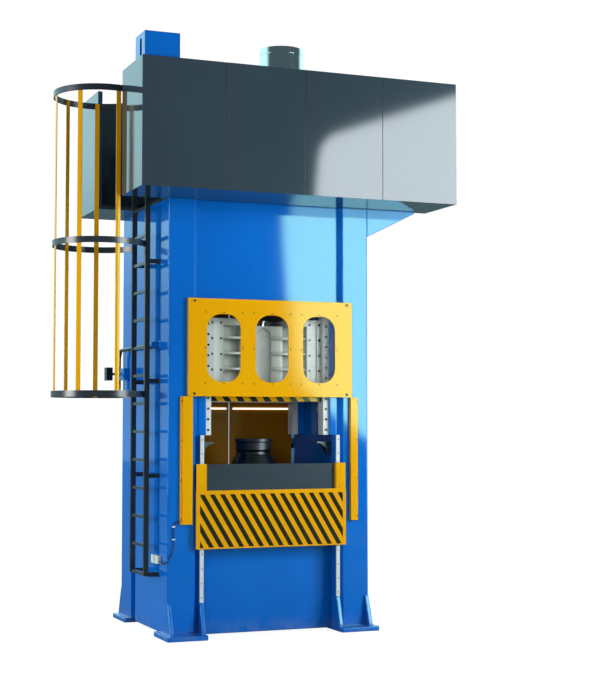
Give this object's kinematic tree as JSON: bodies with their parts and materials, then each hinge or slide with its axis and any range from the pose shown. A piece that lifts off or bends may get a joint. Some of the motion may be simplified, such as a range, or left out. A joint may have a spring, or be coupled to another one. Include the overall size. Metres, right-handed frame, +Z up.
{
  "type": "hydraulic press",
  "caption": "Free-standing two-column hydraulic press with a vertical slide, a lifting front guard, rear guard doors, a sheet-metal crown and a caged ladder.",
  "frame": {"origin": "on the floor, at the centre of the four anchor-bolt holes", "axes": "+Z up; the front, with the lift guard, faces -Y; +X to the right seen from the front, away from the ladder"},
  "size_m": [3.4469, 2.215, 5.49],
  "materials": {
    "frame_blue": "gloss enamel",
    "guard_yellow": "gloss enamel",
    "crown_grey": "gloss",
    "ladder_slate": "satin",
    "slide_white": "satin",
    "guide_white": "satin",
    "black_screws": "black oxide",
    "tool_steel": "machined and oiled",
    "hard_chrome": "ground",
    "polished_steel": "polished",
    "door_glass": "clear",
    "smoked_sheet": "gloss",
    "black_pipe": "satin",
    "motor_grey": "painted"
  },
  "bodies": {
    "frame": {"air_pipe": "black_pipe", "air_regulator": "frame_blue", "bed": "frame_blue", "bed_stands": "frame_blue", "bolster_plate": "tool_steel", "cable_clips": "slide_white", "cable_riser": "frame_blue", "cage_hoops": "ladder_slate", "cage_straps": "guard_yellow", "crown_brackets": "frame_blue", "crown_floor": "crown_grey", "crown_panel_front_1": "crown_grey", "crown_panel_front_2": "crown_grey", "crown_panel_front_3": "crown_grey", "crown_panel_front_4": "crown_grey", "crown_panels_plain": "crown_grey", "crown_posts": "crown_grey", "cylinder_gland": "tool_steel", "feet": "frame_blue", "front_panel_lower": "frame_blue", "front_plate_upper": "frame_blue", "gib_brackets": "frame_blue", "gibs": "guide_white", "guard_screws": "black_screws", "head_beam": "frame_blue", "hydraulic_pump": "motor_grey", "junction_box": "slide_white", "ladder_brackets": "ladder_slate", "ladder_rungs": "ladder_slate", "ladder_stiles": "ladder_slate", "left_side_frame": "frame_blue", "lift_rails": "guide_white", "lower_die": "tool_steel", "main_cylinder": "tool_steel", "oil_tank": "crown_grey", "pump_motor": "motor_grey", "rear_hinges": "black_screws", "rear_plates": "frame_blue", "right_side_frame": "frame_blue", "sensor_cable": "black_pipe", "side_channels": "guard_yellow", "slide_stop_brackets": "tool_steel", "valve_manifold": "motor_grey", "vent_stack": "polished_steel", "window_guard": "guard_yellow", "window_panes": "door_glass"},
    "slide": {"slide_body": "slide_white", "slide_guide_strips": "guide_white", "slide_bolts": "black_screws", "slide_hazard_bar": "guard_yellow", "piston_rod": "hard_chrome"},
    "lift_door": {"door_sheet": "guard_yellow", "door_stiles": "guard_yellow", "door_pane": "smoked_sheet", "door_runners": "tool_steel"},
    "rear_door_l": {"rear_door_left": "guard_yellow", "light_bar_left": "guide_white"},
    "rear_door_r": {"rear_door_right": "guard_yellow", "light_bar_right": "guide_white"},
    "coupling": {"pump_coupling": "tool_steel"}
  },
  "joints": [
    {"name": "slide_travel", "type": "slide", "parent": "frame", "child": "slide", "axis": [0, 0, -1], "range_m": [0, 0.28]},
    {"name": "door_lift", "type": "slide", "parent": "frame", "child": "lift_door", "axis": [0, 0, 1], "range_m": [0, 0.585]},
    {"name": "rear_door_left_hinge", "type": "hinge", "parent": "frame", "child": "rear_door_l", "pos_m": [-0.651, 0.385, 2.19], "axis": [0, 0, 1], "range_deg": [0, 90]},
    {"name": "rear_door_right_hinge", "type": "hinge", "parent": "frame", "child": "rear_door_r", "pos_m": [0.651, 0.385, 2.19], "axis": [0, 0, -1], "range_deg": [0, 90]},
    {"name": "coupling_spin", "type": "hinge", "parent": "frame", "child": "coupling", "pos_m": [-0.1, -0.86, 4.096], "axis": [1, 0, 0], "continuous": true}
  ]
}
